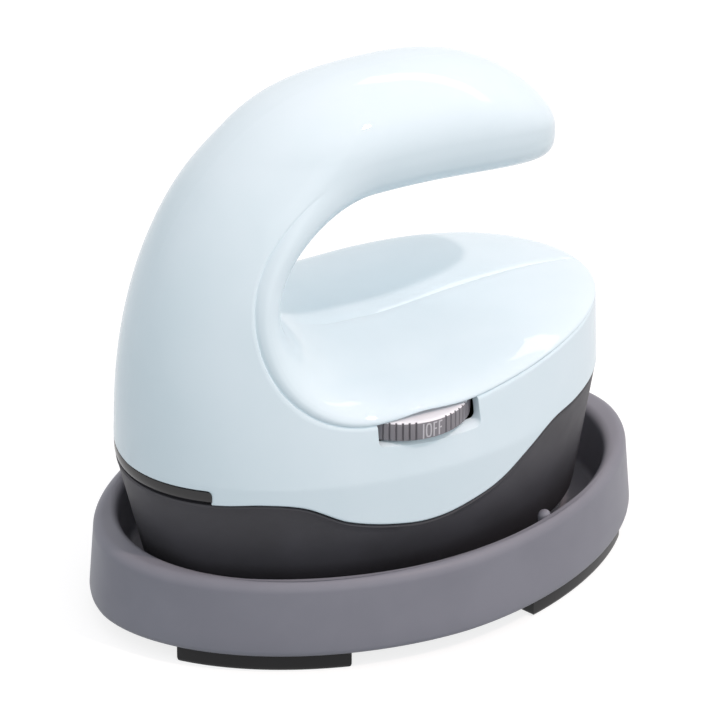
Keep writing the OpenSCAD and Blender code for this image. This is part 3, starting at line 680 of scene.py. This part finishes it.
# section of the band, as (inset, height): from its foot up, and from its top down
TRIM_FOOT = [(2.3, 0.15), (1.1, 0.15), (0.55, 0.3), (0.2, 0.65), (0.05, 1.1), (0.0, 1.7)]
TRIM_HEAD = [(0.0, -0.3), (0.09, -0.09), (0.3, 0.0), (2.3, 0.0)]
TRIM_GAP, TRIM_STEPS = 0.12, 120


def make_trim(mats):
    """Glossy band round the heel, rounded at its upper corners and drawn in at the bottom."""
    end_t = math.acos((TRIM_END_X - TRIM_GAP) / HEEL_X)
    rings = []
    for i in range(TRIM_STEPS + 1):
        t = end_t + (2 * math.pi - 2 * end_t) * i / TRIM_STEPS
        x = HEEL_X * math.cos(t)
        top = notch_top(min(x + TRIM_GAP, TRIM_END_X)) - TRIM_GAP
        section = TRIM_FOOT + [(s, top + down) for s, down in TRIM_HEAD]
        rings.append([((HEEL_X - s) * math.cos(t), (BODY_HALF_W - s) * math.sin(t), wave(x) + z)
                      for s, z in section])
    obj = make_object("heel_band", *ring_loft(rings))
    finish_piece(obj, "press", mats["trim_gloss"], ["rear_trim"])


CLAMP_INSET, CLAMP_Z, CLAMP_HALF_X, CLAMP_HALF_Y = 10, 49.4, 3.5, 7.2
CLAMP_SCREW_Y, CLAMP_PILOT_R = 5.2, 1.05


def clamp_frame(z):
    """Matrix of the cord clamp, behind the bush and turned as the bush is."""
    x = GLAND_X - CLAMP_INSET * math.cos(GLAND_TURN)
    y = GLAND_Y - CLAMP_INSET * math.sin(GLAND_TURN)
    return Matrix.Translation((x * MM, y * MM, z * MM)) @ Matrix.Rotation(GLAND_TURN, 4, "Z")


# the skirt's lower and upper edge and its lip's foot, as (inset, height) from each
SKIRT_HEM = [(0.6, 0.0), (0.25, 0.1), (0.06, 0.35)]
SKIRT_EDGE = [(0.02, -0.85), (0.1, -0.55), (0.3, -0.38)]
LIP_FOOT = [(2.0, 0.4), (2.6, 0.0)]
LIP_LOW, LIP_WALL = -0.35, 1.6
# rows of the skirt's side, from its hem to the seam below the shell
SIDE_FIRST, SIDE_LAST, SIDE_ROWS, SEAM_DROP = 0.06, 0.97, 12, 0.4
PILLAR_R, PILLAR_PILOT_R, PLATE_HOLE_R, SHELL_HOLE_R, LEAD_HOLE_R = 3, 1.2, 2.1, 1.7, 2
HOLE_LOW, HOLE_HIGH, PILLAR_PILOT_H, CLAMP_PILOT_H = DECK_LOW - 2, DECK_LOW + 4, 8, 9
# how far down the skirt's lean the deck lies, and how deep a post is sunk into the deck
DECK_LEAN, POST_SUNK = 0.6, 1
# groove for the cord across the clamp's post
CORD_GROOVE_R, CORD_GROOVE_HALF = CORD_HOLE_R - 0.3, 6


def make_skirt(mats):
    """Skirt with the deck inside it, the pillars of the board and the cord clamp's post."""
    inside = SKIRT_GAP + SKIRT_WALL
    rings = [press_ring(inside, DECK_LOW, lean=DECK_LEAN), press_ring(inside, SKIRT_BOTTOM, lean=1)]
    rings += [press_ring(SKIRT_GAP + pull, SKIRT_BOTTOM + up, lean=1) for pull, up in SKIRT_HEM]
    for k in np.linspace(SIDE_FIRST, SIDE_LAST, SIDE_ROWS):
        rings.append(press_ring(SKIRT_GAP, SKIRT_BOTTOM * (1 - k) - SEAM_DROP * k, k, 1 - k))
    rings += [press_ring(SKIRT_GAP + pull, up, 1) for pull, up in SKIRT_EDGE]
    rings += [press_ring(LIP_INSET, LIP_LOW, 1), press_ring(LIP_INSET, LIP_H, 1),
              press_ring(LIP_INSET + LIP_WALL, LIP_H, 1)]
    rings += [press_ring(LIP_INSET + pull, DECK_TOP + up) for pull, up in LIP_FOOT]
    obj = make_object("heat_guard", *ring_loft(rings))
    pillars = [cylinder(PILLAR_R, DECK_TOP - POST_SUNK, BOARD_Z, p) for p in BOARD_SCREW_AT]
    post = block((-CLAMP_HALF_X, -CLAMP_HALF_Y, DECK_TOP - POST_SUNK - CLAMP_Z),
                 (CLAMP_HALF_X, CLAMP_HALF_Y, 0))
    combine(obj, pillars + [placed(post, clamp_frame(CLAMP_Z))], "UNION")
    holes = [cylinder(PLATE_HOLE_R, HOLE_LOW, HOLE_HIGH, p) for p in PLATE_SCREW_AT]
    holes += [cylinder(SHELL_HOLE_R, HOLE_LOW, HOLE_HIGH, p) for p in SHELL_SCREW_AT]
    holes += [cylinder(PILLAR_PILOT_R, BOARD_Z - PILLAR_PILOT_H, BOARD_Z + 1, p, 24)
              for p in BOARD_SCREW_AT]
    for side in (-1, 1):
        holes.append(cylinder(LEAD_HOLE_R, HOLE_LOW, HOLE_HIGH, (LEAD_X, side * ELEMENT_HALF)))
    for side in (-1, 1):
        pilot = cylinder(CLAMP_PILOT_R, -CLAMP_PILOT_H, 1, (0, side * CLAMP_SCREW_Y), 24)
        holes.append(placed(pilot, clamp_frame(CLAMP_Z)))
    lying = clamp_frame(GLAND_Z) @ Matrix.Rotation(math.pi / 2, 4, "Y")
    holes.append(placed(cylinder(CORD_GROOVE_R, -CORD_GROOVE_HALF, CORD_GROOVE_HALF), lying))
    combine(obj, holes, "DIFFERENCE")
    finish_piece(obj, "press", mats["skirt_plastic"], ["heat_skirt"])


# ---------------------------------------------------------------- stand

def arc_profile(cx, cz, r, start, end, count):
    return [(cx + r * math.cos(math.radians(a)), cz + r * math.sin(math.radians(a)))
            for a in np.linspace(start, end, count)]


# the stand's lower edge as (inset, height) above its foot, and where its side begins
STAND_HEM = [(2.0, 0.0), (1.0, 0.12), (0.45, 0.5), (0.12, 1.1), (0.0, 1.9)]
STAND_LEAN, RIM_OUTER_R, RIM_INNER_R, FLOOR_R = 1.2, 2.6, 2.2, 2.0
NUB_ANGLE, NUB_INSET, NUB_R, NUB_TOP, NUB_SUNK = math.radians(64), 0.4, 1.5, RIM_Z - 0.8, 0.5


def make_nub(side):
    """Small round-headed post against the wall of the stand's hollow."""
    at = ((HOLLOW_LEN / 2 - NUB_INSET) * math.cos(NUB_ANGLE),
          side * (HOLLOW_WID / 2 - NUB_INSET) * math.sin(NUB_ANGLE))
    section = [(NUB_R, TRAY_FLOOR - NUB_SUNK), (NUB_R, NUB_TOP)]
    section += [(NUB_R * math.cos(a), NUB_TOP + NUB_R * math.sin(a)) for a in np.linspace(0.15, 1.45, 7)]
    return make_object("tool", *ring_loft([circle(r, z, at, 32) for r, z in section]))


def make_stand(mats):
    side_z = FOOT_H + STAND_HEM[-1][1]
    outside = [(inset, FOOT_H + up) for inset, up in STAND_HEM]
    side_h = RIM_Z - RIM_OUTER_R - side_z
    outside += [(STAND_LEAN * k / 4, side_z + side_h * k / 4) for k in range(1, 4)]
    outside += arc_profile(STAND_LEAN + RIM_OUTER_R, RIM_Z - RIM_OUTER_R, RIM_OUTER_R, 180, 90, 10)
    hollow = arc_profile(-RIM_INNER_R, RIM_Z - RIM_INNER_R, RIM_INNER_R, 90, 0, 9)
    hollow += arc_profile(FLOOR_R, TRAY_FLOOR + FLOOR_R, FLOOR_R, 180, 270, 7)
    rings = [stand_ring(*place) for place in outside] + [hollow_ring(*place) for place in hollow]
    obj = make_object("stand_body", *ring_loft(rings))
    for side in (-1, 1):
        combine(obj, [make_nub(side)], "UNION")
    finish_piece(obj, "stand", mats["stand_plastic"], ["stand_tray"])


FOOT_STARTS, FOOT_SPAN, FOOT_OUTER, FOOT_INNER, FOOT_STEPS = (33, 115.5, 206.5, 289), 38, 1.25, 10.9, 24
# a foot's side, as (how far it is drawn in, height)
FOOT_SIDE = [(1.0, 0.0), (0.45, 0.12), (0.15, 0.45), (0.0, 1.1), (0.0, FOOT_H)]


def foot_edge(inset, start, end, z):
    """Points along the stand's outline, drawn in by an inset."""
    return [((STAND_LEN / 2 - inset) * bend(math.cos(math.radians(a)), STAND_POWER),
             (STAND_WID / 2 - inset) * bend(math.sin(math.radians(a)), STAND_POWER), z)
            for a in np.linspace(start, end, FOOT_STEPS)]


def make_feet(mats):
    points, faces = [], []
    for start in FOOT_STARTS:
        end = start + FOOT_SPAN
        add_loft(points, faces, [foot_edge(FOOT_OUTER + pull, start + pull, end - pull, z)
                                 + foot_edge(FOOT_INNER - pull, end - pull, start + pull, z)
                                 for pull, z in FOOT_SIDE])
    finish_piece(make_object("stand_foot_pads", points, faces), "stand",
                 mats["foot_rubber"], ["stand_feet"])


# ---------------------------------------------------------------- dial

# width of the smooth plaque under each mark, and how far the dial is turned at rest, in degrees
PLAQUE_DEG, PLAQUE_TURN = 19.7, -2.6
# place of the pale line and of the mark's middle along the plaque, and the line's two ends
PLAQUE_LINE_MM, PLAQUE_PRINT_MM = -2.45, 0.28
LINE_LOW, LINE_TOP = 0.3, DIAL_H - 0.6
# angle of each mark
MARKS = {"OFF": 0, "1": 80, "2": 160, "3": 240}
RIB_COUNT, GROOVE_MID, GROOVE_HALF, GROOVE_DEPTH = 66, 0.3, 0.17, 0.42
# places round each rib at which the dial's outline has a point
RIB_POINTS = (0.02, GROOVE_MID - GROOVE_HALF, GROOVE_MID, GROOVE_MID + GROOVE_HALF, 0.66, 0.84)
# the dial's side, as (height, how far it is cut back)
DIAL_ROWS = [(0.0, 0.4), (0.3, 0.0), (4.15, 0.0), (4.4, 0.08), (4.58, 0.26), (DIAL_H, 0.6)]
# inset of the dial's upper face, and how steeply a face must point up to be painted pale as a painted
# reflection
FACE_INSET, PAINTED_REFLECTION_SLOPE = 1.1, 0.35


def groove_depth(angle):
    """Depth of the dial's grooves; a smooth plaque interrupts them at every setting."""
    for turn in MARKS.values():
        off = (angle + 90 + turn - PLAQUE_TURN + 180) % 360 - 180
        if abs(off) < PLAQUE_DEG / 2:
            return 0.0
    share = (angle % 360) * RIB_COUNT / 360 % 1
    return GROOVE_DEPTH * max(0.0, 1 - abs(share - GROOVE_MID) / GROOVE_HALF)


def make_dial(mats):
    """Thumbwheel with grooves across its round side; its upward faces are painted pale, a painted
    reflection of the bright sky.
    """
    angles = [(i + place) * 360 / RIB_COUNT for i in range(RIB_COUNT) for place in RIB_POINTS]

    def ring(z, radii):
        return [(DIAL_X + r * math.cos(math.radians(a)), DIAL_Y + r * math.sin(math.radians(a)),
                 DIAL_Z + z) for r, a in zip(radii, angles)]

    rings = []
    for z, cut in DIAL_ROWS:
        rings.append(ring(z, [min(DIAL_R - groove_depth(a), DIAL_R - cut) for a in angles]))
    rings.append(ring(DIAL_H, [DIAL_R - FACE_INSET] * len(angles)))
    obj = make_object("thumbwheel", *ring_loft(rings))
    bore = cylinder(SHAFT_R, DIAL_Z - 1, DIAL_Z + DIAL_H + 1, (DIAL_X, DIAL_Y))
    combine(obj, [bore], "DIFFERENCE")
    finish_piece(obj, "dial", mats["dial_plastic"], ["dial_wheel"], smooth_deg=28)
    # faces that point up are painted pale: a painted reflection of the sky above
    obj.data.materials.append(mats["dial_top_painted_reflection"])
    for face in obj.data.polygons:
        if face.normal.z > PAINTED_REFLECTION_SLOPE:
            face.material_index = 1


PRINT_H, PRINT_LOW, PRINT_LINE, PRINT_PROUD, PRINT_SUNK = 3.6, 0.5, 0.34, 0.05, 0.2
LETTER_GAP, MITRE_LEAST = 0.08, 0.4

# strokes of each letter in a box one unit high, and its width
ROUND_O = [(0.19 + 0.16 * math.copysign(abs(math.cos(a)) ** 0.6, math.cos(a)),
            0.5 + 0.45 * math.copysign(abs(math.sin(a)) ** 0.75, math.sin(a)))
           for a in np.linspace(0, 2 * math.pi, 25)[:-1]]
LETTERS = {
    "O": ([(ROUND_O, True)], 0.42),
    "F": ([([(0.27, 0.95), (0.05, 0.95), (0.05, 0)], False),
           ([(0.24, 0.52), (0.05, 0.52)], False)], 0.3),
    "1": ([([(0.0, 0.8), (0.16, 0.97), (0.16, 0)], False)], 0.2),
    "2": ([([(0.04, 0.76), (0.09, 0.9), (0.2, 0.95), (0.31, 0.9), (0.36, 0.74), (0.3, 0.54),
             (0.04, 0.05), (0.38, 0.05)], False)], 0.4),
    "3": ([([(0.04, 0.84), (0.12, 0.93), (0.22, 0.95), (0.32, 0.88), (0.35, 0.73), (0.29, 0.58),
             (0.17, 0.52), (0.3, 0.46), (0.37, 0.28), (0.32, 0.12), (0.2, 0.05), (0.1, 0.07),
             (0.03, 0.17)], False)], 0.4)}


def glyph_strokes(text):
    """Strokes of a mark one unit high, as (path, closed), and the mark's width."""
    strokes, x = [], 0.0
    for letter in text:
        parts, width = LETTERS[letter]
        strokes += [([(x + u, v) for u, v in path], closed) for path, closed in parts]
        x += width + LETTER_GAP
    return strokes, x - LETTER_GAP


def stroke_outline(path, width, closed):
    """Left and right edges of a stroke along a path, mitred at its corners."""
    pts = [Vector(p) for p in path]
    last = len(pts) - 1
    left, right = [], []
    for i, p in enumerate(pts):
        before = pts[i - 1] if i > 0 or closed else None
        after = pts[(i + 1) % (last + 1)] if i < last or closed else None
        a = (p - before).normalized() if before is not None else (after - p).normalized()
        b = (after - p).normalized() if after is not None else a
        way = (a + b).normalized()
        normal = Vector((-way.y, way.x)) * (width / 2 / max(MITRE_LEAST, way.dot(a)))
        left.append(p + normal)
        right.append(p - normal)
    return left, right


def print_on_dial(name, strokes, middle_deg, material):
    """Thin raised print on the dial's round side; strokes are (path, closed) in mm."""
    points, faces = [], []
    outside, inside = DIAL_R + PRINT_PROUD, DIAL_R - PRINT_SUNK
    for path, closed in strokes:
        rings = []
        for a, b in zip(*stroke_outline(path, PRINT_LINE, closed)):
            ring = []
            for p, r in ((a, outside), (b, outside), (b, inside), (a, inside)):
                t = math.radians(middle_deg) + p.x / DIAL_R
                ring.append((DIAL_X + r * math.cos(t), DIAL_Y + r * math.sin(t), DIAL_Z + p.y))
            rings.append(ring)
        add_loft(points, faces, rings, closed)
    finish_piece(make_object(name, points, faces), "dial", material)


def make_marks(mats):
    """A setting mark on every plaque of the dial, with a pale line beside it."""
    for text, turn in MARKS.items():
        strokes, width = glyph_strokes(text)
        start = PLAQUE_PRINT_MM - PRINT_H * width / 2
        printed = [([(start + PRINT_H * u, PRINT_LOW + PRINT_H * v) for u, v in path], closed)
                   for path, closed in strokes]
        printed.append(([(PLAQUE_LINE_MM, LINE_LOW), (PLAQUE_LINE_MM, LINE_TOP)], False))
        print_on_dial("mark_" + text.lower(), printed, PLAQUE_TURN - 90 - turn, mats["dial_print"])


# ---------------------------------------------------------------- carried-over nodes

def dress_nodes(mats):
    slots = {s["node"]: s["material_slot"] for s in frame["record"]["subparts"]}
    for name, obj in cad.items():
        obj.data.materials.clear()
        obj.data.materials.append(mats[slots[name]])


# ---------------------------------------------------------------- studio

CAMERA_AT = (-515.92, -886.53, 620.48)
CAMERA_AZIMUTH, CAMERA_ELEVATION, CAMERA_LENS = -30.156, 28.972, 253.34
CLIP_NEAR_M, CLIP_FAR_M = 0.05, 50


def make_camera():
    az, el = math.radians(CAMERA_AZIMUTH), math.radians(CAMERA_ELEVATION)
    back = Vector((math.sin(az) * math.cos(el), -math.cos(az) * math.cos(el), math.sin(el)))
    right = Vector((math.cos(az), math.sin(az), 0))
    data = bpy.data.cameras.new("camera")
    data.lens = CAMERA_LENS
    data.clip_start = CLIP_NEAR_M
    data.clip_end = CLIP_FAR_M
    camera = bpy.data.objects.new("camera", data)
    turn = Matrix((right, back.cross(right), back)).transposed().to_4x4()
    camera.matrix_world = Matrix.Translation(Vector(CAMERA_AT) * MM) @ turn
    bpy.context.scene.collection.objects.link(camera)
    bpy.context.scene.camera = camera


# name, place, aim, direction of its length, size, watts, colour
LAMPS = [
    ("key", (400, -620, 1160), (0, 0, 60), (1, 0, 0), (60, 60), 5.3, (1.0, 0.80, 0.74)),
    ("strip", (868, 91, 1017), (434, -415, 272), (0.64, -0.75, 0.14), (1400, 150), 2.4,
     (1.0, 0.93, 0.92)),
    ("front", (-200, -1200, 350), (0, 0, 60), (1, 0, 0), (890, 890), 2.5, (1.0, 1.0, 1.0)),
]
# light of the world from the horizon and from above, and what is seen of it
SKY_LOW = (0.78, 0.865, 0.91, 1.0)
SKY_HIGH = (0.75, 0.70, 0.71, 1.0)
SKY_SEEN = (1.0, 1.0, 1.0, 1.0)
# the floor's two greys and glow where it is seen, and its colour where it only lights the object
PAPER_DARK, PAPER_LIGHT, PAPER_GLOW = 0.30, 0.32, 0.78
PAPER_BOUNCE = (0.21, 0.24, 0.26, 1.0)
FLOOR_HALF, FLOOR_NOISE, FLOOR_ROUGH = 4000, 2, 0.9


def softbox(name, at, target, along, size, watts, colour):
    data = bpy.data.lights.new(name, "AREA")
    data.shape = "RECTANGLE"
    data.size, data.size_y = size[0] * MM, size[1] * MM
    data.energy = watts
    data.color = colour
    lamp = bpy.data.objects.new(name, data)
    back = (Vector(at) - Vector(target)).normalized()
    across = back.cross(Vector(along)).normalized()
    turn = Matrix((across.cross(back), across, back)).transposed().to_4x4()
    lamp.matrix_world = Matrix.Translation(Vector(at) * MM) @ turn
    bpy.context.scene.collection.objects.link(lamp)


def seen_rays(tree):
    """1 for camera, glossy and transmission rays, 0 for the rays that light a surface."""
    rays = tree.nodes.new("ShaderNodeLightPath")
    found = rays.outputs["Is Camera Ray"]
    for kind in ("Is Glossy Ray", "Is Transmission Ray"):
        either = tree.nodes.new("ShaderNodeMath")
        either.operation = "MAXIMUM"
        tree.links.new(found, either.inputs[0])
        tree.links.new(rays.outputs[kind], either.inputs[1])
        found = either.outputs[0]
    return found


def mixed(tree, fac, first, second):
    """Mix of two colours, each a constant or another node's output."""
    node = tree.nodes.new("ShaderNodeMix")
    node.data_type = "RGBA"
    tree.links.new(fac, node.inputs["Factor"])
    for socket, value in (("A", first), ("B", second)):
        place = [i for i in node.inputs if i.name == socket and i.type == "RGBA"][0]
        if isinstance(value, tuple):
            place.default_value = value
        else:
            tree.links.new(value, place)
    return [o for o in node.outputs if o.type == "RGBA"][0]


def grey(value):
    return (value, value, value, 1.0)


def make_floor():
    h = FLOOR_HALF
    floor = make_object("floor", [(-h, -h, 0), (h, -h, 0), (h, h, 0), (-h, h, 0)], [(0, 1, 2, 3)])
    s = Surface("floor_paper", {"Roughness": FLOOR_ROUGH})
    s.colour(s.noise(FLOOR_NOISE), grey(PAPER_DARK), grey(PAPER_LIGHT))
    tree = s.material.node_tree
    seen = seen_rays(tree)
    base = s.shader.inputs["Base Color"]
    tree.links.new(mixed(tree, seen, PAPER_BOUNCE, base.links[0].from_socket), base)
    tree.links.new(mixed(tree, seen, grey(0.0), grey(PAPER_GLOW)), s.shader.inputs["Emission Color"])
    s.shader.inputs["Emission Strength"].default_value = 1.0
    floor.data.materials.append(s.material)


def make_world():
    world = bpy.data.worlds.new("studio")
    bpy.context.scene.world = world
    world.use_nodes = True
    tree = world.node_tree
    place = tree.nodes.new("ShaderNodeTexCoord")
    height = tree.nodes.new("ShaderNodeSeparateXYZ")
    tree.links.new(place.outputs["Generated"], height.inputs["Vector"])
    light = mixed(tree, height.outputs["Z"], SKY_LOW, SKY_HIGH)
    shown = mixed(tree, seen_rays(tree), light, SKY_SEEN)
    tree.links.new(shown, tree.nodes["Background"].inputs["Color"])


def make_studio():
    make_floor()
    make_world()
    for lamp in LAMPS:
        softbox(*lamp)
    bpy.context.scene.view_settings.view_transform = "Standard"


def main():
    mats = make_materials()
    dress_nodes(mats)
    make_stand(mats)
    make_feet(mats)
    make_skirt(mats)
    make_trim(mats)
    make_shells(mats)
    make_dial(mats)
    make_marks(mats)
    make_studio()
    make_camera()


main()
